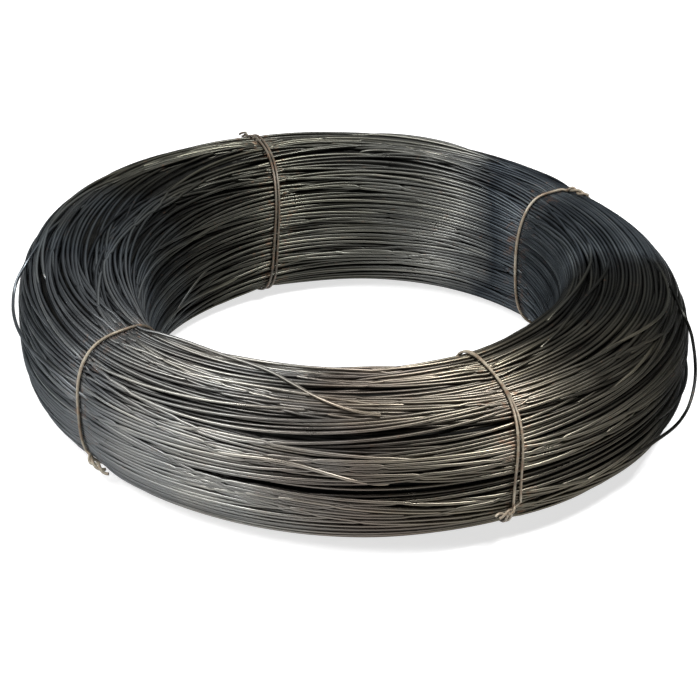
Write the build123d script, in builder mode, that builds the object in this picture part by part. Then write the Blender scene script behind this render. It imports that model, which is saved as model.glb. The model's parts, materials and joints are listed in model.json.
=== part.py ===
from build123d import *
from math import acos, atan2, degrees, hypot, radians, tan
import os

# Coil of black annealed wire, lying flat on the floor: one continuous wire, wound in a ring and held by four ties.
# Millimetres. The origin is on the floor, on the axis of the bore; +X is right, -Y is the front and +Z is up.

# The wound coil
coil_diameter = 610.0
bore_diameter = 352.0
coil_height = 131.0
bore_flare = 9.7  # how much the bore opens towards its lip, as a radius, where turns have slid outwards
bore_flare_start = 62.0  # height at which it begins to open
bore_edge_radius = 41.0  # rounding of the two edges beside the bore
outer_edge_radius = 48.0  # rounding of the shoulder and of the foot
edge_share = 0.45  # most of the height or of the width that one rounded edge may take

# The turns, which show as ridged bands on the top, the shoulder, the outer wall and the foot
wire_diameter = 3.05
turns_in_band = 6
band_crown = 1.8  # how far the ridge of a band stands out from the grooves beside it

# The ties, of thinner wire, each pulled tight into a seat that it presses into the turns
tie_diameter = 2.8
tie_wire_sides = 8
bends_at_edge = 5  # bends of a tie where it goes round one rounded edge
strand_pitch = 5.0  # from one strand of a doubled tie to the other
seat_clearance = 0.3  # between a tie and the floor and walls of its seat
seat_sink = 0.3  # how far a tie lies below the coil's surface

# The two wire ends that close each tie, bent side by side along the coil
long_end_length = 30.0
short_end_length = 21.0
ends_pitch = 2.5  # between the two ends, which are pressed together
ends_clearance = 0.3  # between the ends and the coil
foot_angle = -45.0  # place of the ends round the outer foot, from level
shoulder_angle = 60.0  # place of the ends round the outer shoulder, from level

# Where each tie is, in degrees round the coil from the right
front_left_angle = -142.0
front_right_angle = -62.0
back_left_angle = 114.0
back_right_angle = 33.0
tie_angles = {
    "tie_front_left": front_left_angle,
    "tie_front_right": front_right_angle,
    "tie_back_left": back_left_angle,
    "tie_back_right": back_right_angle,
}

# Which ties are doubled, and where their ends lie; left is as seen from outside the coil
doubled_ties = ("tie_front_right", "tie_back_left")
ties_closed_at_foot = ("tie_front_left", "tie_front_right")
ties_with_ends_to_left = ("tie_front_right", "tie_back_right")

# Sizes and places that follow
bore_radius = bore_diameter / 2
coil_radius = coil_diameter / 2
edge_limit = edge_share * min(coil_height, coil_radius - bore_radius - bore_flare)
bore_edge = min(bore_edge_radius, edge_limit)
outer_edge = min(outer_edge_radius, edge_limit)
lip_x = bore_radius + bore_flare + bore_edge
outer_edge_x = coil_radius - outer_edge
band_pitch = turns_in_band * wire_diameter
seat_depth = seat_sink + tie_diameter + seat_clearance
tie_inset = seat_sink + tie_diameter / 2

# The flared wall leans outwards from the straight one until it touches the rounding of the lip
flare_to_lip = lip_x - bore_radius
flare_rise = coil_height - bore_edge - bore_flare_start
flare_lean = degrees(acos(bore_edge / hypot(flare_to_lip, flare_rise)) - atan2(flare_rise, flare_to_lip))

# The rounded edges of the section, clockwise from the flared wall: centre, radius, first angle and turn
lip_edge = (Vector(lip_x, coil_height - bore_edge), bore_edge, 180 - flare_lean, 90 - flare_lean)
shoulder_edge = (Vector(outer_edge_x, coil_height - outer_edge), outer_edge, 90, 90)
foot_edge = (Vector(outer_edge_x, outer_edge), outer_edge, 0, 90)
bore_foot_edge = (Vector(bore_radius + bore_edge, bore_edge), bore_edge, -90, 90)


def radial_plane(angle):
    """Upright plane through the axis of the bore: its x runs outwards at the angle and its y runs up."""
    outwards = Vector(1, 0, 0).rotate(Axis.Z, angle)
    return Plane(origin=(0, 0, 0), x_dir=outwards, z_dir=outwards.cross(Vector(0, 0, 1)))


def edge_points(edge, inset):
    """Points round a rounded edge of the section, moved inwards by the inset, with a straight run at each bend."""
    centre, radius, first_angle, turn = edge
    points = []
    for bend in range(bends_at_edge + 1):
        bend_angle = first_angle - turn * bend / bends_at_edge
        place = centre + Vector(radius - inset, 0).rotate(Axis.Z, bend_angle)
        points.append((place.X, place.Y))
    return points


def section_points(inset):
    """Points of the coil's plain section, moved inwards by the inset, clockwise from the straight bore wall."""
    flare_foot = bore_flare_start - inset * tan(radians(flare_lean / 2))
    points = [(bore_radius + inset, (bore_edge + bore_flare_start) / 2), (bore_radius + inset, flare_foot)]
    for edge in (lip_edge, shoulder_edge, foot_edge, bore_foot_edge):
        points += edge_points(edge, inset)
    return points


def band_points():
    """Grooves and ridges of the bands in turn, from the start of the lip to the end of the foot."""
    far = coil_radius - band_crown
    high = coil_height - band_crown
    with BuildLine(mode=Mode.PRIVATE) as groove_line:
        RadiusArc(edge_points(lip_edge, band_crown)[0], (lip_x, high), bore_edge - band_crown)
        Line((lip_x, high), (outer_edge_x, high))
        RadiusArc((outer_edge_x, high), (far, coil_height - outer_edge), outer_edge - band_crown)
        Line((far, coil_height - outer_edge), (far, outer_edge))
        RadiusArc((far, outer_edge), (outer_edge_x, band_crown), outer_edge - band_crown)
    points = []
    for stretch in groove_line.edges():
        bands = max(1, round(stretch.length / band_pitch))
        for number in range(bands):
            groove = stretch @ (number / bands)
            next_groove = stretch @ ((number + 1) / bands)
            outwards = (next_groove - groove).normalized().rotate(Axis.Z, 90)
            points += [groove, (groove + next_groove) / 2 + outwards * band_crown]
    return points + [Vector(outer_edge_x, band_crown)]


def draw_tie_wire():
    """Draw the section of the tie wire, with few sides, one of them flat against what it lies on."""
    RegularPolygon(tie_diameter / 2, tie_wire_sides, major_radius=False, rotation=180 / tie_wire_sides)


def strands_of(tie_name):
    """How many strands of wire lie side by side in a tie."""
    return 2 if tie_name in doubled_ties else 1


# The coil: a turned ring with a plain base and flared bore, its bands of turns, and a seat for each tie
with BuildPart() as wire_coil:
    with BuildSketch(Plane.XZ):
        with BuildLine():
            Polyline(
                *band_points(),
                (outer_edge_x, 0),
                *edge_points(bore_foot_edge, 0),
                (bore_radius, bore_flare_start),
                edge_points(lip_edge, 0)[0],
                close=True,
            )
        make_face()
    revolve(axis=Axis.Z)
    for tie_name, angle in tie_angles.items():
        seat_width = (strands_of(tie_name) - 1) * strand_pitch + tie_diameter + 2 * seat_clearance
        with BuildSketch(radial_plane(angle)):
            with BuildLine():
                Polyline(*section_points(-seat_depth), close=True)
            make_face()
            with BuildLine():
                Polyline(*section_points(seat_depth), close=True)
            make_face(mode=Mode.SUBTRACT)
        extrude(amount=seat_width / 2, both=True, mode=Mode.SUBTRACT)
wire_coil.part.label = "wire_coil"

os.makedirs("parts", exist_ok=True)
export_step(wire_coil.part, "parts/wire_coil.step")

# The ties: one or two closed strands in the seat, and the pair of ends that comes out of it and lies along the coil
for tie_name, angle in tie_angles.items():
    plane = radial_plane(angle)
    half_width = (strands_of(tie_name) - 1) * strand_pitch / 2
    at_foot = tie_name in ties_closed_at_foot
    edge_centre = foot_edge[0] if at_foot else shoulder_edge[0]
    ends_out = Vector(1, 0, 0).rotate(Axis.Z, foot_angle if at_foot else shoulder_angle)
    ends_way = plane.z_dir * (1 if tie_name in ties_with_ends_to_left else -1)
    strand_place = edge_centre + ends_out * (outer_edge - tie_inset)
    ends_place = edge_centre + ends_out * (outer_edge + ends_clearance + tie_diameter / 2)
    outwards = plane.from_local_coords(ends_out)
    with BuildPart() as tie:
        for number in range(strands_of(tie_name)):
            strand_plane = plane.offset(number * strand_pitch - half_width)
            with BuildLine(strand_plane) as loop:
                Polyline(*section_points(tie_inset), close=True)
            path = loop.wires()[0]
            with BuildSketch(Plane(origin=path @ 0, x_dir=plane.z_dir, z_dir=path % 0)):
                draw_tie_wire()
            sweep(path=path, transition=Transition.RIGHT)
            neck_start = strand_plane.from_local_coords(strand_place)
            with BuildSketch(Plane(origin=neck_start, x_dir=plane.z_dir, z_dir=outwards)):
                draw_tie_wire()
            extrude(amount=(ends_place - strand_place).length)
        ends_start = plane.from_local_coords(ends_place) - ends_way * half_width
        with BuildSketch(Plane(origin=ends_start, x_dir=outwards, z_dir=ends_way)):
            with Locations((0, -ends_pitch / 2)):
                draw_tie_wire()
        extrude(amount=long_end_length)
        with BuildSketch(Plane(origin=ends_start, x_dir=outwards, z_dir=ends_way)):
            with Locations((0, ends_pitch / 2)):
                draw_tie_wire()
        extrude(amount=short_end_length)
    tie.part.label = tie_name
    export_step(tie.part, f"parts/{tie_name}.step")
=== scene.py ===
# %% [markdown]
# A coil of black annealed wire
#
# The real object is one long steel wire, wound into a ring that lies flat, and held by four short ties of
# thinner wire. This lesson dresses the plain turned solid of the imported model: it lays several hundred
# turns of wire round the ring, binds them with the ties, and gives the wire its dark, half-glossy skin
# and the ties their dull brown one. Everything is in metres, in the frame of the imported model: the ring's
# axis is Z and the floor is z = 0.

import json
import math

import bpy
import numpy as np
from mathutils import Matrix, Vector


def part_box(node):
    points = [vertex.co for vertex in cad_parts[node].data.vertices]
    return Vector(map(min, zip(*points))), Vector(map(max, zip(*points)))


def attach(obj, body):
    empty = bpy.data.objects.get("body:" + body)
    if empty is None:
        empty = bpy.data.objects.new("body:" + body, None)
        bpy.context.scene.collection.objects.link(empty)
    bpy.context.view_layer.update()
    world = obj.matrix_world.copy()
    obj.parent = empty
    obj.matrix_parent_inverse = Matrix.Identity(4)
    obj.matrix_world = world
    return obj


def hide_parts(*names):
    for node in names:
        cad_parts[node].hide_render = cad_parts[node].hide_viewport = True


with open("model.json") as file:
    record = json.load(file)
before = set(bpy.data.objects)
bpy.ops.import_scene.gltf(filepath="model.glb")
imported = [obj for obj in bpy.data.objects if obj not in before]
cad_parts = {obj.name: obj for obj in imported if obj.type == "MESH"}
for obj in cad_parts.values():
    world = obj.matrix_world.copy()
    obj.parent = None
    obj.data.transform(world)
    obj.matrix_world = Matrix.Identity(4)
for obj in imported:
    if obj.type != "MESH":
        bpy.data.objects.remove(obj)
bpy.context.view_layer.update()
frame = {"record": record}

coil_low, coil_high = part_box("wire_coil")
coil_radius = (coil_high.x - coil_low.x) / 2
coil_height = coil_high.z - coil_low.z
mounts = {mount["name"]: mount for mount in frame["record"]["mounts"]}
bore_radius = mounts["bore"]["dims"]["r_mm"] / 1000
print(f"coil: radius {coil_radius:.4f} m, bore {bore_radius:.4f} m, height {coil_height:.4f} m")

# %% [markdown]
# The camera
#
# The camera comes first, because every later choice is judged through it. It stands in front of the coil,
# looks down on it at a little under thirty degrees, and is far enough away for a long lens, which keeps
# the far side of the ring almost as large as the near side. The numbers come from fitting a ring of this
# size to the outline in the picture. Guessing them by eye is possible too, but then they are a little
# wrong, and every later choice with them.

# %% Camera
camera_distance = 1.9825
camera_elevation = math.radians(28.4)
camera_roll = math.radians(0.4)
camera_lens = 109.7
sensor_width = 36.0
aim = Vector((-0.0006, 0, 0.0296))

back = Vector((0, -math.cos(camera_elevation), math.sin(camera_elevation)))
camera_data = bpy.data.cameras.new("camera")
camera_data.lens = camera_lens
camera_data.sensor_width = sensor_width
camera = bpy.data.objects.new("camera", camera_data)
bpy.context.collection.objects.link(camera)
turn_to_aim = (-back).to_track_quat("-Z", "Y").to_matrix().to_4x4()
camera.matrix_world = (
    Matrix.Translation(aim + back * camera_distance) @ turn_to_aim @ Matrix.Rotation(camera_roll, 4, "Z")
)
bpy.context.scene.camera = camera
print(f"camera: {camera_distance:.2f} m away, {math.degrees(camera_elevation):.1f} degrees up")

# %% [markdown]
# The shape of the ring
#
# A coil of soft wire is never quite round. This one is a little longer from its back left to its front
# right, its bore is a little longer the other way, and it is higher at the back left. The shape could be
# sculpted, but a law is easier to reuse: a mean size, and one or two waves round the ring. The same law
# then serves the turns, the hidden inside and the ties. Angles run from the right (+X) towards the back
# (+Y).

# %% Section of the ring at any angle
# Heights of the waves, as shares of the coil's radius
outer_diagonal = 0.0345
outer_shift_back = 0.008
bore_diagonal = 0.0346
bore_shift_front = 0.0095
height_left = 0.0216
height_back = 0.0223
height_diagonal = 0.0060


def section_at(angle):
    """Middle radius, half width and half height of the ring's section at an angle."""
    sine, cosine, diagonal = np.sin(angle), np.cos(angle), np.sin(2 * angle)
    outer = coil_radius * (1 + outer_shift_back * sine - outer_diagonal * diagonal)
    bore = bore_radius + coil_radius * (bore_diagonal * diagonal - bore_shift_front * sine)
    higher = height_back * sine - height_left * cosine - height_diagonal * diagonal
    height = coil_height + coil_radius * higher
    return (outer + bore) / 2, (outer - bore) / 2, height / 2


check_angles = np.radians([-45, 45, 135, 225])
print("half widths on the diagonals, mm:", np.round(section_at(check_angles)[1] * 1000, 1))

# %% [markdown]
# Places in the section
#
# Inside one section, a place is given by two shares: how far across it is, from -1 at the bore to 1 at
# the outside, and how far up, from -1 at the floor to 1 at the top. The wall is a squarish oval, rounder
# outside than at the bore. Working in these shares keeps the rest simple, because the wall is then the
# same curve at every angle. At the bore the upper turns have slid outwards, most of all on the right,
# while at the front they lean in a little. No simple wave does this, so a short table gives the flare of
# the bore at a few angles.

# %% From shares to metres and back
bore_corner_power = 3.4
outer_corner_power = 2.9
# How far the top of the bore lies outwards of its foot, at angles in degrees
flare_angles = (-150, -120, -105, -85, -62, -42, -20, 0, 45, 90, 180)
flares = (0.014, 0.006, 0.000, -0.006, -0.007, -0.003, 0.012, 0.024, 0.022, 0.016, 0.012)
flare_power = 1.5


def wall_share(across, up):
    """How far out a place of the section is: 1 is on the wall."""
    power = np.where(across > 0, outer_corner_power, bore_corner_power)
    return (np.abs(across) ** power + np.abs(up) ** power) ** (1 / power)


def flared_width(angle, half_width, on_bore_side, up):
    """Half width on one side of the section: on the bore's side the flare changes it towards the top."""
    flare = np.interp(np.degrees(angle), flare_angles, flares, period=360)
    rise = np.clip((1 + up) / 2, 0, 1) ** flare_power
    return half_width - np.where(on_bore_side, flare * rise, 0)


def from_section(angle, across, up, inset):
    """Radius and height of a place given by its shares, on a wall moved inwards by the inset."""
    middle, half_width, half_height = section_at(angle)
    width = flared_width(angle, half_width, across < 0, up)
    return middle + across * (width - inset), half_height + up * (half_height - inset)


def to_section(angle, radius, height, inset):
    """Shares of a place given by its radius and height."""
    middle, half_width, half_height = section_at(angle)
    up = (height - half_height) / (half_height - inset)
    width = flared_width(angle, half_width, radius < middle, up)
    return (radius - middle) / (width - inset), up


def on_wall(angle, way_round, inset):
    """Point of the model at an angle, a way round the section and an inset from its wall."""
    across, up = np.cos(way_round), np.sin(way_round)
    share = wall_share(across, up)
    radius, height = from_section(angle, across / share, up / share, inset)
    return np.stack([radius * np.cos(angle), radius * np.sin(angle), height], -1)


top_of_left = on_wall(np.array([np.pi]), np.array([np.pi / 2]), 0.0)[0]
print("top of the ring on its left, m:", np.round(top_of_left, 4))

# %% [markdown]
# Where the ties run
#
# Four ties go round the section of the ring. Each was pulled tight, so the turns below it are pressed in
# and those beside it dip towards it. A tie doesn't lie in an exact radial plane: it slants by a few
# degrees on its way over the top and down the bore, and one of them bulges sideways in the bore. The one
# at the front left also pulls in the lip of the bore. Their places are settled before the turns are laid,
# because the turns have to give way to them.

# %% Ties: places and slants
tie_diameter = 0.0028
tie_inset = 0.0017
# The angle round the coil, the slants and the bulge are in degrees, and the pull on the lip is in metres
ties = {
    "tie_front_left": dict(angle=-142.0, outward=0.0, upward=0.0, bulge=0.0, lip_pull=0.0055),
    "tie_front_right": dict(angle=-60.6, outward=-3.3, upward=0.0, bulge=0.0, lip_pull=0.0),
    "tie_back_left": dict(angle=114.0, outward=-1.2, upward=-2.9, bulge=0.0, lip_pull=0.0),
    "tie_back_right": dict(angle=31.6, outward=0.0, upward=5.0, bulge=3.2, lip_pull=0.0),
}
bulge_power = 2
pinch_depth = tie_inset + tie_diameter / 2
pinch_reach = 0.020
lip_way = math.radians(150)
lip_power = 6
lip_reach = 0.022


def tie_angle(tie, way_round):
    """Angle round the coil of a tie at a way round the section."""
    slant = tie["outward"] * np.cos(way_round) + tie["upward"] * np.sin(way_round)
    in_bore = np.maximum(-np.cos(way_round), 0) ** bulge_power
    return np.radians(tie["angle"] + slant + tie["bulge"] * in_bore)


def lip_pull_at(tie, way_round):
    """How far a tie pulls in the lip of the bore."""
    return tie["lip_pull"] * np.maximum(np.cos(way_round - lip_way), 0) ** lip_power


def pinch_at(angle, way_round, radius):
    """How far the ties press the wall in at a place."""
    depth = 0
    for tie in ties.values():
        off = angle - tie_angle(tie, way_round)
        off = (off + np.pi) % (2 * np.pi) - np.pi
        pressed = pinch_depth * np.exp(-((off * radius / pinch_reach) ** 2))
        pulled = lip_pull_at(tie, way_round) * np.exp(-((off * radius / lip_reach) ** 2))
        depth = np.maximum(depth, pressed + pulled)
    return depth


tie_places = [tie["angle"] for tie in ties.values()]
print("ties at", tie_places, "degrees, pressed in", round(pinch_depth * 1000, 1), "mm")

# %% [markdown]
# Laying the turns
#
# The wire is wound without a former, so its turns wander: they run side by side for a while, drift apart,
# leave dark gaps and cross at small angles. Copies of one perfect ring would look like a machined part,
# and wires with random wobbles of their own would pass through each other. So the turns are laid in two
# steps. First, each turn gets a place in the section that drifts slowly along the wire: a drift that it
# shares with its neighbours, and a smaller one of its own. The turns are one chain, the end of each being
# the start of the next, because it is one wire. Only the three outer layers are laid wire by wire, since
# nobody can see further in.

# %% Turns, stations and the section's outline
wire_diameter = 0.00305
wire_radius = wire_diameter / 2
stations = 200  # points of one turn
turns_in_layer = (106, 124, 116)  # from the outside inwards
seam_angle = math.radians(ties["tie_back_left"]["angle"])

turn_count = sum(turns_in_layer)
chain_length = turn_count * stations
station_angle = seam_angle + 2 * np.pi * np.arange(stations) / stations


def even_ways(count=2000):
    """Table from an even share of the section's outline to the way round it, and the outline's length."""
    way = np.linspace(0, 2 * np.pi, count)
    steps = np.diff(on_wall(np.zeros(count), way, wire_diameter), axis=0)
    length = np.concatenate([[0], np.cumsum(np.linalg.norm(steps, axis=1))])
    return length / length[-1], way, length[-1]


even_share, even_way, outline_length = even_ways()
print(f"wire: {turn_count} turns of {stations} points, section outline {outline_length:.3f} m")

# %% First places of the turns
layer_depth = 0.9 * wire_diameter
shared_drift = 0.0070
drift_waves = 14
waves_round_section = (2, 11)
waves_round_coil = (1, 5)
own_drift = 0.0042
own_drift_knots = stations // 4
depth_drift = 0.0012
depth_drift_knots = stations // 7
spare_knots = 4
random = np.random.default_rng(7)


def smooth_step(part):
    """Eased way from 0 to 1."""
    return part * part * (3 - 2 * part)


def smooth_noise(count, knot_spacing):
    """Random curve along the wire, about one high, that changes over the spacing of its knots."""
    knots = random.normal(size=count // knot_spacing + spare_knots)
    place = np.arange(count) / knot_spacing
    first = place.astype(int)
    eased = smooth_step(place - first)
    return knots[first] * (1 - eased) + knots[first + 1] * eased


def neighbour_noise(share, angle):
    """Slow drift that neighbouring wires share, as waves round the section and round the coil."""
    total = np.zeros_like(share)
    for _ in range(drift_waves):
        round_section = random.integers(*waves_round_section)
        round_coil = random.integers(*waves_round_coil)
        phase = random.uniform(0, 2 * np.pi)
        total += np.sin(2 * np.pi * round_section * share + round_coil * angle + phase)
    return total / math.sqrt(drift_waves / 2)


share = np.concatenate([np.arange(turns * stations) / (turns * stations) for turns in turns_in_layer])
layer_insets = wire_radius + layer_depth * np.arange(len(turns_in_layer))
depth = np.repeat(layer_insets, np.array(turns_in_layer) * stations)
depth += depth_drift * smooth_noise(chain_length, depth_drift_knots)
drift = shared_drift * neighbour_noise(share, np.tile(station_angle, turn_count))
drift += own_drift * smooth_noise(chain_length, own_drift_knots)
way = np.interp((share + drift / outline_length) % 1, even_share, even_way)
first_points = on_wall(np.tile(station_angle, turn_count), way, depth)
turn_radius = np.hypot(first_points[:, 0], first_points[:, 1]).reshape(turn_count, stations)
turn_height = first_points[:, 2].reshape(turn_count, stations).copy()
print(f"first places: the turns drift by {np.abs(drift).mean() * 1000:.1f} mm on average")

# %% [markdown]
# Letting the turns settle
#
# Now the turns are let go, in many small passes, much as a simulation would do it. Wires that overlap
# push each other apart, so that one climbs over the other where they cross. The wire's stiffness smooths
# it along its length. The wall of the ring and the ties hold it in, and the hidden inside holds it out. A
# rigid-body or cloth simulation could do the same, but a few lines of array arithmetic do it in seconds
# and give the same result on every run.

# %% Push the turns apart
neighbours = 14  # wires that each wire is compared with, going round the section
passes = 170
push_share = 0.45
least_gap = 1e-9
stiffness = 0.35
stiff_stations = 11
inside_depth = 0.0085
stiff_window = np.hanning(stiff_stations + 2)[1:-1]
stiff_window /= stiff_window.sum()
station_middle, station_width, station_half_height = section_at(station_angle)


def smoothed(values):
    """The chain of turns, smoothed along the wire."""
    chain = np.pad(values.ravel(), stiff_stations // 2, mode="edge")
    return np.convolve(chain, stiff_window, mode="valid").reshape(values.shape)


def push_apart(radius, height):
    """Moves wires that overlap away from each other, looking only at near neighbours round the section."""
    order = np.argsort(np.arctan2(height - station_half_height, radius - station_middle), axis=0)
    near_radius = np.take_along_axis(radius, order, 0)
    near_height = np.take_along_axis(height, order, 0)
    move_radius = np.zeros_like(radius)
    move_height = np.zeros_like(height)
    for step in range(1, neighbours + 1):
        gap_radius = np.roll(near_radius, -step, 0) - near_radius
        gap_height = np.roll(near_height, -step, 0) - near_height
        gap = np.hypot(gap_radius, gap_height) + least_gap
        push = push_share * np.maximum(wire_diameter - gap, 0) / gap
        move_radius += np.roll(push * gap_radius, step, 0) - push * gap_radius
        move_height += np.roll(push * gap_height, step, 0) - push * gap_height
    np.put_along_axis(radius, order, near_radius + move_radius, 0)
    np.put_along_axis(height, order, near_height + move_height, 0)


def hold_in(radius, height):
    """Keeps the wires between the wall of the ring, pinched at the ties, and the hidden inside."""
    across, up = to_section(station_angle, radius, height, wire_radius)
    inset = wire_radius + pinch_at(station_angle, np.arctan2(up, across), radius)
    across, up = to_section(station_angle, radius, height, inset)
    share = wall_share(across, up)
    scale = np.clip(share, 1 - inside_depth / station_width, 1) / share
    return from_section(station_angle, across * scale, up * scale, inset)


for _ in range(passes):
    push_apart(turn_radius, turn_height)
    turn_radius += stiffness * (smoothed(turn_radius) - turn_radius)
    turn_height += stiffness * (smoothed(turn_height) - turn_height)
    turn_radius, turn_height = hold_in(turn_radius, turn_height)
turn_points = np.stack(
    [turn_radius * np.cos(station_angle), turn_radius * np.sin(station_angle), turn_height], -1
)
turn_length = np.linalg.norm(np.diff(turn_points.reshape(-1, 3), axis=0), axis=1).sum()
print(f"turns settled in {passes} passes; {turn_length:.0f} m of wire, {turn_height.max():.4f} m high")

# %% [markdown]
# A sweep made of nodes
#
# Every wire here, thick or thin, is a round bar swept along a line. Geometry Nodes do this well: the
# lines come in as bare edges, Mesh to Curve makes them curves, and Curve to Mesh sweeps a small circle
# along them. The tree has named inputs for the diameter and the number of sides, so the coil's wire and
# the ties share it. It also stores how far round the wire each point is, which is used for laying the
# wire out flat.

# %% Node tree that sweeps a wire
def add_inputs(tree, kinds):
    """Named inputs of a node tree, each with its kind of socket."""
    for name, kind in kinds.items():
        tree.interface.new_socket(name, in_out="INPUT", socket_type="NodeSocket" + kind)


def wire_tree():
    """Tree that turns edges into round wires."""
    tree = bpy.data.node_groups.new("sweep_wire", "GeometryNodeTree")
    add_inputs(tree, {"Lines": "Geometry", "Wire Diameter": "Float", "Sides": "Int", "Skin": "Material"})
    tree.interface.new_socket("Wires", in_out="OUTPUT", socket_type="NodeSocketGeometry")
    add, link = tree.nodes.new, tree.links.new

    entry = add("NodeGroupInput")
    curves = add("GeometryNodeMeshToCurve")
    half = add("ShaderNodeMath")
    half.operation = "DIVIDE"
    half.inputs[1].default_value = 2
    circle = add("GeometryNodeCurvePrimitiveCircle")
    around = add("GeometryNodeSplineParameter")
    keep_around = add("GeometryNodeStoreNamedAttribute")
    keep_around.data_type = "FLOAT"
    keep_around.domain = "POINT"
    keep_around.inputs["Name"].default_value = "around"
    sweep = add("GeometryNodeCurveToMesh")
    sweep.inputs["Fill Caps"].default_value = True
    smooth = add("GeometryNodeSetShadeSmooth")
    realize = add("GeometryNodeRealizeInstances")
    skin = add("GeometryNodeSetMaterial")
    leave = add("NodeGroupOutput")

    link(entry.outputs["Lines"], curves.inputs["Mesh"])
    link(entry.outputs["Wire Diameter"], half.inputs[0])
    link(half.outputs[0], circle.inputs["Radius"])
    link(entry.outputs["Sides"], circle.inputs["Resolution"])
    link(circle.outputs["Curve"], keep_around.inputs["Geometry"])
    link(around.outputs["Factor"], keep_around.inputs["Value"])
    link(curves.outputs["Curve"], sweep.inputs["Curve"])
    link(keep_around.outputs["Geometry"], sweep.inputs["Profile Curve"])
    link(sweep.outputs["Mesh"], smooth.inputs["Geometry"])
    link(smooth.outputs["Geometry"], realize.inputs["Geometry"])
    link(realize.outputs["Geometry"], skin.inputs["Geometry"])
    link(entry.outputs["Skin"], skin.inputs["Material"])
    link(skin.outputs["Geometry"], leave.inputs["Wires"])
    return tree


sweep_wire = wire_tree()
print("node tree:", sweep_wire.name, len(sweep_wire.nodes), "nodes")

# %% [markdown]
# Lines and their flat layout
#
# A line carries a few numbers for each of its points: its station along the wire, a tint, which on the
# coil's turns and the ties also holds painted shade, and how much it rubs on a tie. The sweep hands them
# on to the mesh, where the material reads them. A mesh also needs a flat layout, a UV map, if its finish
# is to be baked. Blender can unwrap one by itself, but it would cut a long wire into scraps. Here each
# turn gets a strip of its own, as if the wire had been cut at every turn and laid out in rows, so that
# nothing overlaps.

# %% Lines and flat layout
strip_margin = 0.05
strip_fill = 1 - 2 * strip_margin
# The face that closes the wire's circle goes from its late points back to its early ones
late_round, early_round = 0.6, 0.3
half_station = 0.5


def lines_mesh(name, lines, tints_and_painted_shades, rubs):
    """Mesh of bare edges along each line of points, with the numbers that its points carry."""
    edges, start = [], 0
    for line in lines:
        index = np.arange(start, start + len(line))
        edges.append(np.stack([index[:-1], index[1:]], -1))
        start += len(line)
    mesh = bpy.data.meshes.new(name)
    mesh.from_pydata(np.concatenate(lines).tolist(), np.concatenate(edges).tolist(), [])
    carried = {
        "station": np.concatenate([np.arange(len(line)) for line in lines]),
        "line": np.repeat(np.arange(len(lines)), [len(line) for line in lines]),
        "tint_and_painted_shade": np.concatenate(tints_and_painted_shades),
        "rub": np.concatenate(rubs),
    }
    for kind, values in carried.items():
        mesh.attributes.new(kind, "FLOAT", "POINT").data.foreach_set("value", values.astype(np.float32))
    return mesh


def lay_flat(mesh, strip_stations):
    """UV map that gives each turn of wire a strip of its own, as long as the map is wide."""
    corners = np.empty(len(mesh.loops), np.int32)
    mesh.loops.foreach_get("vertex_index", corners)
    sizes = np.empty(len(mesh.polygons), np.int32)
    mesh.polygons.foreach_get("loop_total", sizes)
    face = np.repeat(np.arange(len(sizes)), sizes)
    carried = {}
    for kind in ("station", "line", "around"):
        values = np.empty(len(mesh.vertices), np.float32)
        mesh.attributes[kind].data.foreach_get("value", values)
        carried[kind] = values[corners]
    first_station = np.full(len(sizes), np.inf)
    np.minimum.at(first_station, face, carried["station"])
    turn = np.floor((first_station + half_station) / strip_stations)[face]
    turns_in_line = int(turn.max()) + 1
    widest = np.zeros(len(sizes))
    np.maximum.at(widest, face, carried["around"])
    closing = (widest[face] > late_round) & (carried["around"] < early_round)
    around = np.where(closing, 1.0, carried["around"])
    strips = turns_in_line * (int(carried["line"].max()) + 1)
    along = carried["station"] / strip_stations - turn
    across = (carried["line"] * turns_in_line + turn + strip_margin + strip_fill * around) / strips
    flat = np.stack([along, across], -1).astype(np.float32)
    mesh.uv_layers.new(name="OFBake").data.foreach_set("uv", flat.ravel())


print(f"flat layout: the wire fills {strip_fill:.0%} of its strip")

# %% [markdown]
# From lines to finished pieces
#
# A modifier with the sweep's tree is put on the lines, and its result is turned into a plain mesh. The
# modifier could stay live for a picture, but an export drops instances, and a plain mesh is the same
# everywhere. The modifier's inputs are set by the identifiers of their sockets, because Blender doesn't
# know them by name. A finished piece then rides on the model's body and stands for one of its nodes.

# %% Finished pieces
sweep_sockets = {socket.name: socket.identifier for socket in sweep_wire.interface.items_tree}
print("sockets of the sweep:", sweep_sockets)


def finish_piece(name, mesh, node):
    """Object of a finished mesh that rides on the model and stands for one of its nodes."""
    piece = bpy.data.objects.new(name, mesh)
    bpy.context.collection.objects.link(piece)
    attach(piece, "root")
    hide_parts(node)
    triangles = sum(len(face.vertices) - 2 for face in mesh.polygons)
    print(f"{name}: {triangles} triangles")


def sweep_lines(name, lines, tints_and_painted_shades, rubs, diameter, sides, skin, strip_stations, node):
    """Finished piece of wires swept along lines."""
    source = bpy.data.objects.new(name + "_lines", lines_mesh(name + "_lines", lines, tints_and_painted_shades, rubs))
    bpy.context.collection.objects.link(source)
    modifier = source.modifiers.new("sweep", "NODES")
    modifier.node_group = sweep_wire
    for socket, value in (("Wire Diameter", diameter), ("Sides", sides), ("Skin", skin)):
        modifier[sweep_sockets[socket]] = value
    swept = source.evaluated_get(bpy.context.evaluated_depsgraph_get())
    mesh = bpy.data.meshes.new_from_object(swept)
    mesh.name = name
    source.modifiers.remove(modifier)
    bpy.data.objects.remove(source)
    lay_flat(mesh, strip_stations)
    finish_piece(name, mesh, node)


# %% [markdown]
# Rust, which two materials share
#
# The black oxide is thin. Where the ties rub it away, and in a few spots elsewhere, a film of brown rust
# shows. Both the coil's wire and the ties have it, so it is a node group: one noise, cut off at a level
# that its input moves. The group only says where the rust is. Each material keeps its own shader and its
# own rust colour.

# %% Rust group
spot_detail = 5
spot_roughness = 0.65
film_start, film_full = 0.72, 1.05


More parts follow.
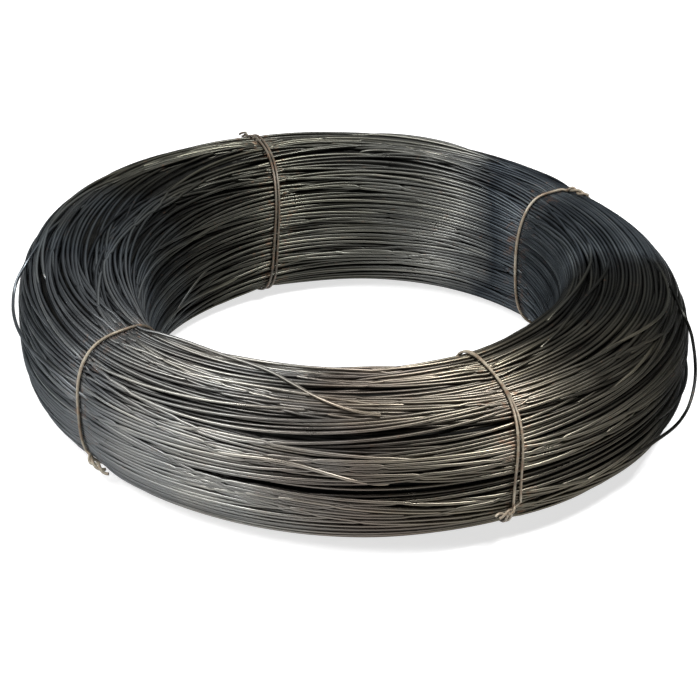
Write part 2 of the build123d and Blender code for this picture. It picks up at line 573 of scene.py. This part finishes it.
def rust_group():
    """Group that puts out a mask of rust spots."""
    group = bpy.data.node_groups.new("rust_film", "ShaderNodeTree")
    add_inputs(group, {"Place": "Vector", "Spot Scale": "Float", "Amount": "Float"})
    group.interface.new_socket("Mask", in_out="OUTPUT", socket_type="NodeSocketFloat")
    add, link = group.nodes.new, group.links.new
    entry = add("NodeGroupInput")
    spots = add("ShaderNodeTexNoise")
    spots.inputs["Detail"].default_value = spot_detail
    spots.inputs["Roughness"].default_value = spot_roughness
    raised = add("ShaderNodeMath")
    raised.operation = "ADD"
    cut = add("ShaderNodeMapRange")
    cut.inputs["From Min"].default_value = film_start
    cut.inputs["From Max"].default_value = film_full
    leave = add("NodeGroupOutput")
    link(entry.outputs["Place"], spots.inputs["Vector"])
    link(entry.outputs["Spot Scale"], spots.inputs["Scale"])
    link(spots.outputs["Fac"], raised.inputs[0])
    link(entry.outputs["Amount"], raised.inputs[1])
    link(raised.outputs[0], cut.inputs["Value"])
    link(cut.outputs["Result"], leave.inputs["Mask"])
    return group


rust_film = rust_group()
print("shader group:", rust_film.name, len(rust_film.nodes), "nodes")

# %% [markdown]
# Short calls for materials
#
# A material is a tree of nodes too, and building one takes many like lines. They could be written out
# each time, or drawn by hand in the Shader Editor. Here each kind of node has a short call that adds it
# to the tree, feeds it and gives back what it puts out, so that a skin reads like a recipe.

# %% A new material, and what feeds its nodes
def new_material(name):
    """New material, its shader and its node tree."""
    material = bpy.data.materials.new(name)
    material.use_nodes = True
    return material, material.node_tree.nodes["Principled BSDF"], material.node_tree


def feed(tree, value, socket):
    """Gives a socket a plain number or colour, or links it to what another node puts out."""
    if isinstance(value, bpy.types.NodeSocket):
        tree.links.new(value, socket)
    else:
        socket.default_value = value


def object_place(tree):
    """Place on the object, in metres."""
    return tree.nodes.new("ShaderNodeTexCoord").outputs["Object"]


def wire_number(tree, name):
    """A number that the wire carries."""
    node = tree.nodes.new("ShaderNodeAttribute")
    node.attribute_name = name
    return node.outputs["Fac"]


print("material nodes as in Blender", bpy.app.version_string)

# %% Noises, sums, ranges and ramps
noise_span = (0.3, 0.7)  # between these lies nearly all of a noise


def add_noise(tree, place, scale, detail=3.0):
    """Noise texture at a place."""
    noise = tree.nodes.new("ShaderNodeTexNoise")
    noise.inputs["Scale"].default_value = scale
    noise.inputs["Detail"].default_value = detail
    feed(tree, place, noise.inputs["Vector"])
    return noise.outputs["Fac"]


def add_math(tree, operation, first, second):
    """Math node on two values, of which either may be a plain number."""
    node = tree.nodes.new("ShaderNodeMath")
    node.operation = operation
    feed(tree, first, node.inputs[0])
    feed(tree, second, node.inputs[1])
    return node.outputs[0]


def add_range(tree, value, span, to_span):
    """Map Range node from one span of a value to another."""
    node = tree.nodes.new("ShaderNodeMapRange")
    for name, number in zip(("From Min", "From Max", "To Min", "To Max"), (*span, *to_span)):
        node.inputs[name].default_value = number
    feed(tree, value, node.inputs["Value"])
    return node.outputs["Result"]


def add_ramp(tree, value, stops):
    """Colour ramp over a value, from pairs of place and colour."""
    node = tree.nodes.new("ShaderNodeValToRGB")
    elements = node.color_ramp.elements
    while len(elements) < len(stops):
        elements.new(0.5)
    for element, (place, colour) in zip(elements, stops):
        element.position = place
        element.color = (*colour, 1)
    feed(tree, value, node.inputs["Fac"])
    return node.outputs["Color"]


print("a noise is taken to run from", noise_span[0], "to", noise_span[1])

# %% Mixes, rust and bump
bump_distance = 0.0001
bump_detail = 2.0


def socket_called(sockets, identifier):
    """Socket with an identifier, for a node whose sockets share their names."""
    return next(socket for socket in sockets if socket.identifier == identifier)


def add_mix(tree, share, first, second, blend="MIX"):
    """Mix node between two colours, of which either may be a plain one."""
    node = tree.nodes.new("ShaderNodeMix")
    node.data_type = "RGBA"
    node.blend_type = blend
    for identifier, value in (("Factor_Float", share), ("A_Color", first), ("B_Color", second)):
        feed(tree, value, socket_called(node.inputs, identifier))
    return socket_called(node.outputs, "Result_Color")


def add_rust(tree, place, spot_scale, amount):
    """Rust mask with its own spot size, and an amount that may change over the surface."""
    node = tree.nodes.new("ShaderNodeGroup")
    node.node_tree = rust_film
    for name, value in (("Place", place), ("Spot Scale", spot_scale), ("Amount", amount)):
        feed(tree, value, node.inputs[name])
    return node.outputs["Mask"]


def add_bump(tree, shader, place, scale, strength):
    """Fine bump on a shader, from a noise."""
    bump = tree.nodes.new("ShaderNodeBump")
    bump.inputs["Distance"].default_value = bump_distance
    bump.inputs["Strength"].default_value = strength
    feed(tree, add_noise(tree, place, scale, bump_detail), bump.inputs["Height"])
    feed(tree, bump.outputs["Normal"], shader.inputs["Normal"])


print(f"a bump is {bump_distance * 1000} mm deep at most")

# %% [markdown]
# The wire's skin
#
# Annealing leaves a thin black oxide on the steel. It is dark grey rather than black, half-glossy, and
# its tone drifts round the coil: bluish on the left and at the back right, brown at the front. The ramp
# that gives this tone also holds painted light and shade: painted highlight at the front left and at the
# back, where the lamps' sheen falls, and painted shade on the right and at the back right. Each stretch
# of wire is also a little lighter or darker than the next. The colour therefore comes from three things:
# a ramp over the angle round the coil, which a noise makes uneven, the tint that the wire carries, which
# on the deeper turns is painted shade, and the rust. The skin is mostly metallic, and its tint for
# grazing light is a dark one, so the edges of each wire stay dark and the turns don't run together. The
# gloss varies over a finer noise, so that the highlights break up along the wire, and a fine bump gives
# the oxide its slightly scaly surface.

# %% Wire skin
# Oxide colour with painted light and shade, from the left (0) by the front (0.25), the right (0.5) and
# the back (0.75) to the left again. Each stop is set to how light falls there: the light stops at 0.10
# to 0.17 and at 0.69 are painted highlight, and the dark ones at 0.44, 0.49, 0.62 and 0.93 are painted
# shade
oxide_and_painted_light_round_coil = (
    (0.00, (0.090, 0.102, 0.113)),
    (0.10, (0.150, 0.160, 0.168)),
    (0.17, (0.215, 0.215, 0.205)),
    (0.26, (0.148, 0.126, 0.107)),
    (0.34, (0.124, 0.113, 0.088)),
    (0.44, (0.044, 0.044, 0.038)),
    (0.49, (0.036, 0.038, 0.038)),
    (0.54, (0.108, 0.124, 0.138)),
    (0.62, (0.026, 0.031, 0.037)),
    (0.69, (0.135, 0.136, 0.128)),
    (0.76, (0.078, 0.078, 0.068)),
    (0.84, (0.078, 0.077, 0.062)),
    (0.93, (0.050, 0.050, 0.044)),
    (1.00, (0.090, 0.102, 0.113)),
)
oxide_patches, oxide_shift = 9.0, 0.045
# Multipliers over the tint that a wire carries; the low end mostly serves the painted shade of the deeper
# turns
wire_shades = ((0.0, (0.15, 0.15, 0.16)), (0.5, (0.95, 0.95, 0.95)), (1.0, (1.7, 1.66, 1.55)))
rust_brown = (0.16, 0.080, 0.042, 1)
rust_spots = 140.0
rust_all_over, rust_at_ties = 0.10, 0.12
rust_rougher = 0.3
gloss_patches, oxide_roughness = 45.0, (0.27, 0.40)
oxide_scales, oxide_bump = 900.0, 0.07
oxide_metallic = 0.85
oxide_edge = (0.25, 0.25, 0.25, 1)


def wire_skin():
    """Black annealed steel."""
    material, shader, tree = new_material("black_annealed_wire")
    place = object_place(tree)
    split = tree.nodes.new("ShaderNodeSeparateXYZ")
    feed(tree, place, split.inputs["Vector"])
    angle = add_math(tree, "ARCTAN2", split.outputs["Y"], split.outputs["X"])
    turn_share = add_range(tree, angle, (-math.pi, math.pi), (0, 1))
    patches = add_noise(tree, place, oxide_patches)
    uneven = add_range(tree, patches, noise_span, (-oxide_shift, oxide_shift))
    # The ramp gives the oxide's tone together with painted highlight and painted shade round the coil
    oxide_and_painted_light = add_ramp(tree, add_math(tree, "ADD", turn_share, uneven), oxide_and_painted_light_round_coil)
    shade = add_ramp(tree, wire_number(tree, "tint_and_painted_shade"), wire_shades)
    colour = add_mix(tree, 1.0, oxide_and_painted_light, shade, "MULTIPLY")
    rubbed = add_math(tree, "MULTIPLY", wire_number(tree, "rub"), rust_at_ties)
    rust = add_rust(tree, place, rust_spots, add_math(tree, "ADD", rubbed, rust_all_over))
    feed(tree, add_mix(tree, rust, colour, rust_brown), shader.inputs["Base Color"])
    gloss = add_range(tree, add_noise(tree, place, gloss_patches), noise_span, oxide_roughness)
    rougher = add_math(tree, "MULTIPLY", rust, rust_rougher)
    feed(tree, add_math(tree, "ADD", gloss, rougher), shader.inputs["Roughness"])
    add_bump(tree, shader, place, oxide_scales, oxide_bump)
    shader.inputs["Metallic"].default_value = oxide_metallic
    shader.inputs["Specular Tint"].default_value = oxide_edge
    return material


black_wire = wire_skin()
print("material:", black_wire.name, len(black_wire.node_tree.nodes), "nodes")

# %% [markdown]
# The turns as pieces
#
# One mesh of all the turns would be too heavy to export well, so the chain is cut into five pieces of
# about seventy turns each, at the back left tie, where a cut can't be seen. Six sides are enough for a
# wire that is three millimetres thick: with smooth shading it looks round, and each side more would cost
# over a hundred thousand triangles. Each stretch gets its tint here. Turns that lie deeper get painted
# shade: their tint is made darker, for the little light that reaches them.

# %% Turns
pieces_of_chain = 5
wire_sides = 6
middle_tint, tint_spread = 0.5, 0.18
tint_knots = stations * 2 // 3
# Painted shade: turns that lie deeper than this are painted darker, by up to the share below
buried_from = 0.5  # wire diameters below the wall
buried_painted_shade = 0.68

chain = turn_points.reshape(-1, 3)
chain_across, chain_up = to_section(station_angle, turn_radius, turn_height, wire_radius)
chain_pinch = pinch_at(station_angle, np.arctan2(chain_up, chain_across), turn_radius)
chain_rub = np.minimum(chain_pinch.ravel() / pinch_depth, 1)
chain_depth = (1 - wall_share(chain_across, chain_up)) * station_width - chain_pinch
buried = np.clip(chain_depth.ravel() / wire_diameter - buried_from, 0, 1)
chain_tint_with_painted_shade = middle_tint + tint_spread * smooth_noise(chain_length, tint_knots)
# Painted shade on the deeper turns, laid over their random tint
chain_tint_with_painted_shade = np.clip(chain_tint_with_painted_shade * (1 - buried_painted_shade * buried), 0, 1)
for number, turns in enumerate(np.array_split(np.arange(turn_count), pieces_of_chain), 1):
    stretch = slice(turns[0] * stations, min((turns[-1] + 1) * stations + 1, chain_length))
    sweep_lines(
        f"turns_{number}", [chain[stretch]], [chain_tint_with_painted_shade[stretch]], [chain_rub[stretch]],
        diameter=wire_diameter, sides=wire_sides, skin=black_wire, strip_stations=stations,
        node="wire_coil",
    )

# %% [markdown]
# Loose turns
#
# Between two ties some turns have worked loose: they lie on top of the others, cross them at an angle and
# slip back under. They make the coil look wound by hand. Each starts and ends below the surface, some way
# from a tie, rises on the way and drifts across a few of its neighbours. Placing each by hand would take
# long, so they are drawn from random numbers with a fixed seed.

# %% Loose turns between the ties
loose_in_span = 5
loose_points = 70
loose_from_tie = (6, 30)  # degrees between a tie and the end of a loose turn
loose_drift = 0.012
sway_share = 0.4
rise_power = 0.35
ride_height = 0.8 * wire_radius
sunk = 3.2 * wire_diameter
bore_side_limit, outer_side_limit = math.radians(215), math.radians(-30)


def loose_turn(first_angle, last_angle):
    """Line of a turn that rises over its neighbours between two angles."""
    part = np.linspace(0, 1, loose_points)
    angle = first_angle + (last_angle - first_angle) * part
    way = random.uniform(outer_side_limit, bore_side_limit)
    drift = random.normal() * loose_drift
    sway = random.normal() * sway_share * loose_drift
    way = way + (2 * np.pi / outline_length) * (drift * (part - 0.5) + sway * np.sin(np.pi * part) ** 2)
    rise = np.sin(np.pi * part) ** rise_power
    return on_wall(angle, way, sunk - (sunk + ride_height) * rise)


tie_order = sorted(math.radians(tie["angle"]) for tie in ties.values())
loose_lines = []
for first_tie, next_tie in zip(tie_order, tie_order[1:] + [tie_order[0] + 2 * math.pi]):
    for _ in range(loose_in_span):
        start = first_tie + math.radians(random.uniform(*loose_from_tie))
        end = next_tie - math.radians(random.uniform(*loose_from_tie))
        loose_lines.append(loose_turn(start, end))
print("loose turns:", len(loose_lines))

# %% [markdown]
# The free end and two slack loops
#
# Three stretches of wire are seen so clearly that they are placed one by one. The free end comes from
# under the front left tie, crosses the top and stops at the front, growing lighter towards its tip. One
# slack loop stands off on the left and one on the right, where a turn has dropped out of the bundle. Each
# is a short list of an angle, a way round the section and an inset, with a smooth curve through the
# points. A negative inset stands off from the wall.

# %% Listed stretches
# Angle round the coil and way round the section in degrees, and inset in millimetres
free_end = (
    (-150, 104, 4.0), (-141, 106, 2.6), (-136, 111, -0.2), (-130, 117, -1.4), (-124, 118, -1.5),
    (-118, 115, -1.6), (-112, 110, -1.7), (-106, 101, -1.8), (-101, 88, -1.8), (-97, 76, -1.8),
    (-93, 67, -1.8), (-89, 61, -1.9), (-85, 58, -2.2),
)
left_loop = (
    (-200, 72, 3.5), (-190, 60, 1.0), (-182, 50, -0.8), (-177.5, 41, -2.5), (-175, 29, -4.8),
    (-172, 23, -6.0), (-169, 20, -6.5), (-165, 18, -6.0), (-160.5, 17, -4.2), (-155.5, 18, -2.6),
    (-151, 19, -1.4), (-147, 19, 0.2), (-143, 17, 2.6), (-138, 15, 5.0),
)
right_loop = (
    (5, 66, 2.5), (-5, 52, 0.5), (-12.5, 38, -1.0), (-14, 18, -3.8), (-14.5, -2, -7.5),
    (-16.5, -12, -9.0), (-20, -21, -9.0), (-23, -24.5, -7.6), (-26.5, -24, -6.0), (-33, -21, -2.8),
    (-37, -21, -0.8), (-45, -19, 4.0),
)
# Each with the tints of its two ends
hand_placed = ((free_end, (0.30, 1.0)), (left_loop, (0.5, 0.5)), (right_loop, (0.2, 0.2)))
hand_points = 120
loose_sides = 8
loose_tint_range = (0.4, 0.95)


def through_knots(knots, count):
    """Smooth curve through rows of listed numbers."""
    knots = np.asarray(knots, float)
    before, after = 2 * knots[:1] - knots[1:2], 2 * knots[-1:] - knots[-2:-1]
    padded = np.concatenate([before, knots, after])
    place = np.linspace(0, len(knots) - 1, count)
    first = np.minimum(place.astype(int), len(knots) - 2)
    part = (place - first)[:, None]
    a, b, c, d = (padded[first + step] for step in range(4))
    square = 2 * a - 5 * b + 4 * c - d
    cube = 3 * (b - c) + d - a
    return 0.5 * (2 * b + (c - a) * part + square * part**2 + cube * part**3)


loose_tints = [np.full(len(line), random.uniform(*loose_tint_range)) for line in loose_lines]
for knots, tints_and_painted_shades in hand_placed:
    angle, way, inset = through_knots(knots, hand_points).T
    loose_lines.append(on_wall(np.radians(angle), np.radians(way), inset / 1000))
    loose_tints.append(np.linspace(*tints_and_painted_shades, hand_points))
loose_rubs = [np.zeros(len(line)) for line in loose_lines]
sweep_lines(
    "loose_turns", loose_lines, loose_tints, loose_rubs,
    diameter=wire_diameter, sides=loose_sides, skin=black_wire, strip_stations=hand_points,
    node="wire_coil",
)

# %% [markdown]
# The inside of the coil
#
# Below the outer layers there are about nine hundred more turns, but only blackness shows between the
# wires. Laying those too would cost millions of triangles that nobody sees. One ring with the section's
# shape stands for them. It is ridged, with one ridge for each turn that would lie there, so that it
# doesn't look smooth through a gap, and its nearly black colour is painted shade, dark enough to look
# like depth.

# %% Inside
inside_inset = 0.0075
inside_stations = 100
inside_turns = 118
points_of_turn = 3
inside_points = inside_turns * points_of_turn
inside_ridge = 0.0008
inside_wander = 0.025
inside_patches = 60.0
# Painted shade: the hidden turns are coloured nearly black
inside_painted_shade = ((0.35, (0.003, 0.003, 0.003)), (0.65, (0.009, 0.009, 0.008)))
inside_roughness = 0.65
inside_specular = 0.05


def inside_ring():
    """Closed ring that fills the coil below its outer turns."""
    angle = np.linspace(0, 2 * np.pi, inside_stations, endpoint=False)[:, None]
    way = np.linspace(0, 2 * np.pi, inside_points, endpoint=False)[None]
    angle, way = np.broadcast_arrays(angle, way)
    ridge = inside_ridge * np.cos(inside_turns * way)
    wander = inside_wander * (np.sin(2 * angle + 3 * way) + np.sin(3 * angle - 5 * way + 1))
    pinch = pinch_at(angle, way + wander, bore_radius)
    points = on_wall(angle, way + wander, inside_inset + pinch - ridge).reshape(-1, 3)
    faces = []
    for i in range(inside_stations):
        for j in range(inside_points):
            next_i, next_j = (i + 1) % inside_stations, (j + 1) % inside_points
            corners = ((i, j), (next_i, j), (next_i, next_j), (i, next_j))
            faces.append([a * inside_points + b for a, b in corners])
    mesh = bpy.data.meshes.new("inner_turns")
    mesh.from_pydata(points.tolist(), [], faces)
    mesh.shade_smooth()
    return mesh


def inside_skin():
    """Wire so deep in the coil that it is nearly black; the black is painted shade."""
    material, shader, tree = new_material("wire_in_shadow")
    patches = add_noise(tree, object_place(tree), inside_patches)
    feed(tree, add_ramp(tree, patches, inside_painted_shade), shader.inputs["Base Color"])
    shader.inputs["Roughness"].default_value = inside_roughness
    shader.inputs["Specular IOR Level"].default_value = inside_specular
    return material


inner_mesh = inside_ring()
inner_mesh.materials.append(inside_skin())
finish_piece("inner_turns", inner_mesh, "wire_coil")

# %% [markdown]
# The ties
#
# A tie is a piece of thinner wire that goes once or twice round the section. Its two ends are twisted
# together with pliers and bent along the coil: low on the outside on the two front ties, on the shoulder
# on the two at the back. A ready-made ring with a separate twist would leave a joint to hide, so each tie
# is one line: the first end's twist, the way round, and the second end's twist. Where the wire goes round
# twice it is a little thinner, and it changes lanes underneath, so that its two strands lie side by side
# where they show. They come together over the top and part towards the foot.

# %% A tie's way round the section
strand_pitch = 0.0050
close_over_top, open_at_wall = 0.45, 0.15
tie_points_per_turn = 130
tie_sway = 0.0007
tie_sway_knots = tie_points_per_turn // 6
foot_way, low_way, shoulder_way, top_way = (math.radians(way) for way in (-38, -24, 50, 72))
# Lanes change at degrees from the start; the ends lie with the angle round the coil (1) or against it (-1)
tie_ends = {
    "tie_front_left": dict(rounds=1, start=foot_way, lane_change=340, ends_way=1, ends_length=0.027),
    "tie_front_right": dict(rounds=2, start=low_way, lane_change=315, ends_way=-1, ends_length=0.019),
    "tie_back_left": dict(rounds=2, start=shoulder_way, lane_change=212, ends_way=1, ends_length=0.006),
    "tie_back_right": dict(rounds=1, start=top_way, lane_change=340, ends_way=-1, ends_length=0.025),
}
lane_change_reach = 22.0
last_change = 30  # degrees before a doubled tie's end


def ease(value, place, reach):
    """Step from 0 to 1 at a place, eased over its reach to each side."""
    return smooth_step(np.clip((value - place) / (2 * reach) + 0.5, 0, 1))


def tie_round(tie, ends):
    """Points of a tie's way round the section, with its lanes."""
    count = tie_points_per_turn * ends["rounds"]
    degrees = np.linspace(0, 360 * ends["rounds"], count)
    way = ends["start"] + np.radians(degrees)
    lane = ease(degrees, ends["lane_change"], lane_change_reach) - 0.5
    if ends["rounds"] == 1:
        side = tie_diameter * lane
    else:
        side = strand_pitch * lane * (1 - close_over_top * np.sin(way) + open_at_wall * np.cos(way))
        side += tie_diameter * ease(degrees, 360 * ends["rounds"] - last_change, lane_change_reach)
    side = ends["ends_way"] * side + tie_sway * smooth_noise(count, tie_sway_knots)
    angle = tie_angle(tie, way)
    radius = np.linalg.norm(on_wall(angle, way, tie_inset)[:, :2], axis=1)
    return on_wall(angle + side / radius, way, tie_inset + lip_pull_at(tie, way))


print("rounds of the ties:", {name: ends["rounds"] for name, ends in tie_ends.items()})

# %% Twisted ends and whole ties
twist_points = 34
twist_pitch = 0.018
twist_start = 0.002
twist_droop = 0.06
spread_by, lifted_by = 0.06, 0.12  # shares of an end's length
twist_lift = 0.6 * tie_diameter
second_end_share = 0.8


def tie_twist(tie, ends, phase, length):
    """Points of one twisted end, from the tie outwards along the coil."""
    part = np.linspace(0, 1, twist_points)
    turn = phase + 2 * np.pi * length * part / twist_pitch
    middle_way = ends["start"]
    radius = np.linalg.norm(on_wall(tie_angle(tie, middle_way), middle_way, 0.0)[:2])
    along = ends["ends_way"] * (twist_start + length * part)
    angle = tie_angle(tie, middle_way) + along / radius
    section_radius = outline_length / (2 * np.pi)
    spread = ease(part, spread_by, spread_by) * tie_diameter / 2
    way = middle_way - twist_droop * part + spread * np.cos(turn) / section_radius
    axis_inset = tie_inset - (tie_inset + twist_lift) * ease(part, lifted_by, lifted_by)
    return on_wall(angle, way, axis_inset - spread * np.sin(turn))


tie_lines = {}
for name, tie in ties.items():
    ends = tie_ends[name]
    first_twist = tie_twist(tie, ends, 0.0, ends["ends_length"])
    last_twist = tie_twist(tie, ends, np.pi, second_end_share * ends["ends_length"])
    tie_lines[name] = np.concatenate([first_twist[::-1], tie_round(tie, ends)[1:-1], last_twist])
    length = np.linalg.norm(np.diff(tie_lines[name], axis=0), axis=1).sum()
    print(f"{name}: {length:.2f} m of tie wire")

# %% [markdown]
# The ties' skin
#
# The ties are softer wire that has been handled: khaki brown, dull, with bright rubbed patches and rust.
# They use the same rust group as the coil, with a larger amount and finer spots. One material serves all
# four, because the tint that a line carries can make one tie darker than another. The back left tie is
# the darkest, and the one at the front left is painted darker on its way down the bore, as painted shade.

# %% Tie skin
tie_patches = 38.0
tie_khaki = ((0.32, (0.120, 0.100, 0.073)), (0.50, (0.270, 0.232, 0.172)), (0.66, (0.420, 0.380, 0.300)))
tie_shades = ((0.0, (0.0, 0.0, 0.0)), (1.0, (1.0, 1.0, 1.0)))
tie_rust_brown = (0.150, 0.070, 0.032, 1)
tie_rust_spots, tie_rust_amount = 210.0, 0.26
tie_gloss_patches, tie_roughness = 240.0, (0.38, 0.62)
tie_scales, tie_bump = 1100.0, 0.5
tie_metallic = 0.25


def tie_skin():
    """Thin annealed wire, dull and rusted."""
    material, shader, tree = new_material("rusty_tie_wire")
    place = object_place(tree)
    khaki = add_ramp(tree, add_noise(tree, place, tie_patches), tie_khaki)
    shade = add_ramp(tree, wire_number(tree, "tint_and_painted_shade"), tie_shades)
    khaki = add_mix(tree, 1.0, khaki, shade, "MULTIPLY")
    rust = add_rust(tree, place, tie_rust_spots, tie_rust_amount)
    feed(tree, add_mix(tree, rust, khaki, tie_rust_brown), shader.inputs["Base Color"])
    rough = add_range(tree, add_noise(tree, place, tie_gloss_patches), noise_span, tie_roughness)
    feed(tree, rough, shader.inputs["Roughness"])
    add_bump(tree, shader, place, tie_scales, tie_bump)
    shader.inputs["Metallic"].default_value = tie_metallic
    return material


tie_wire = tie_skin()
print("material:", tie_wire.name, len(tie_wire.node_tree.nodes), "nodes")

# %% Ties as pieces
tie_sides = 8
doubled_thinner = 0.82
# Brightness of each tie, and the share of it that is taken away down the bore as painted shade
tie_brightness = {
    "tie_front_left": (0.85, 0.75),
    "tie_front_right": (1.0, 0.0),
    "tie_back_left": (0.30, 0.0),
    "tie_back_right": (0.75, 0.0),
}
dimming_place, dimming_reach = 0.2, 0.5  # as shares across the section, towards the bore

for name, line in tie_lines.items():
    brightness, painted_shade_in_bore = tie_brightness[name]
    line_angle = np.arctan2(line[:, 1], line[:, 0])
    across, _ = to_section(line_angle, np.hypot(line[:, 0], line[:, 1]), line[:, 2], tie_inset)
    # Painted shade: the tie is made darker on its way down the bore
    tint_and_painted_shade = brightness * (1 - painted_shade_in_bore * ease(-across, dimming_place, dimming_reach))
    thinner = doubled_thinner if tie_ends[name]["rounds"] == 2 else 1
    sweep_lines(
        name + "_wire", [line], [tint_and_painted_shade], [np.zeros(len(line))],
        diameter=tie_diameter * thinner, sides=tie_sides, skin=tie_wire, strip_stations=len(line),
        node=name,
    )

# %% [markdown]
# The floor
#
# The coil lies on a plain white floor. More light would make any floor white, but it would bleach the
# coil as well. So part of the floor's white is its own glow, which only the camera and reflections see.
# The glow is weaker near the coil, where it leaves room for the coil's shadow, and grows with the
# distance from it.

# %% Floor
floor_half = 60.0
floor_grey = (0.5, 0.5, 0.5, 1)
floor_roughness = 0.9
floor_specular = 0.1
glow_white = (1, 1, 1, 1)
glow_distances, glow_strengths = (0.6, 2.5), (0.70, 1.0)

floor_corners = [(floor_half * x, floor_half * y, 0) for x, y in ((-1, -1), (1, -1), (1, 1), (-1, 1))]
floor_mesh = bpy.data.meshes.new("floor")
floor_mesh.from_pydata(floor_corners, [], [(0, 1, 2, 3)])
floor = bpy.data.objects.new("floor", floor_mesh)
bpy.context.collection.objects.link(floor)


def floor_skin():
    """White floor that glows a little to the camera and in reflections."""
    material, shader, tree = new_material("white_floor")
    shader.inputs["Base Color"].default_value = floor_grey
    shader.inputs["Roughness"].default_value = floor_roughness
    shader.inputs["Specular IOR Level"].default_value = floor_specular
    shader.inputs["Emission Color"].default_value = glow_white
    path = tree.nodes.new("ShaderNodeLightPath").outputs
    seen = add_math(tree, "MAXIMUM", path["Is Camera Ray"], path["Is Glossy Ray"])
    seen = add_math(tree, "MAXIMUM", seen, path["Is Transmission Ray"])
    from_coil = tree.nodes.new("ShaderNodeVectorMath")
    from_coil.operation = "LENGTH"
    feed(tree, object_place(tree), from_coil.inputs[0])
    glow = add_range(tree, from_coil.outputs["Value"], glow_distances, glow_strengths)
    feed(tree, add_math(tree, "MULTIPLY", seen, glow), shader.inputs["Emission Strength"])
    return material


floor_mesh.materials.append(floor_skin())
print(f"floor: {2 * floor_half:.0f} m wide")

# %% [markdown]
# The light
#
# Dark wire shows its form almost only by its highlights, and a wire shines where it runs at a right angle
# to the half-way line between the lamp and the eye. The turns run in every direction round the ring, so
# each lamp lights up other stretches of them. One even sky would make the coil look flat. Instead there
# is a large lamp on the left, one of middle size at the front left, a small one overhead, a small strong
# one on the right, and a wide weak one that fills in the back.

# %% Lamps and world
lamp_distance = 2.4
# Direction from the coil, size in metres and power in watts
lamps = {
    "left_lamp": ((-0.70, -0.20, 0.66), 1.8, 34),
    "front_left_lamp": ((-0.50, -0.35, 0.79), 0.8, 30),
    "top_lamp": ((0.10, -0.25, 0.96), 0.6, 14),
    "right_lamp": ((0.42, -0.10, 0.89), 0.5, 70),
    "back_lamp": ((0.05, 0.80, 0.60), 1.5, 5),
}
sky_white = (1, 1, 1, 1)
sky_strength = 0.045

for name, (direction, size, watts) in lamps.items():
    lamp_data = bpy.data.lights.new(name, "AREA")
    lamp_data.size = size
    lamp_data.energy = watts
    lamp = bpy.data.objects.new(name, lamp_data)
    bpy.context.collection.objects.link(lamp)
    lamp.location = Vector(direction).normalized() * lamp_distance
    lamp.rotation_euler = Vector(direction).to_track_quat("Z", "Y").to_euler()

world = bpy.data.worlds.new("studio")
bpy.context.scene.world = world
world.use_nodes = True
sky = world.node_tree.nodes["Background"].inputs
sky["Color"].default_value = sky_white
sky["Strength"].default_value = sky_strength
bpy.context.scene.view_settings.view_transform = "Standard"
print("lamps:", [light.name for light in bpy.data.lights])
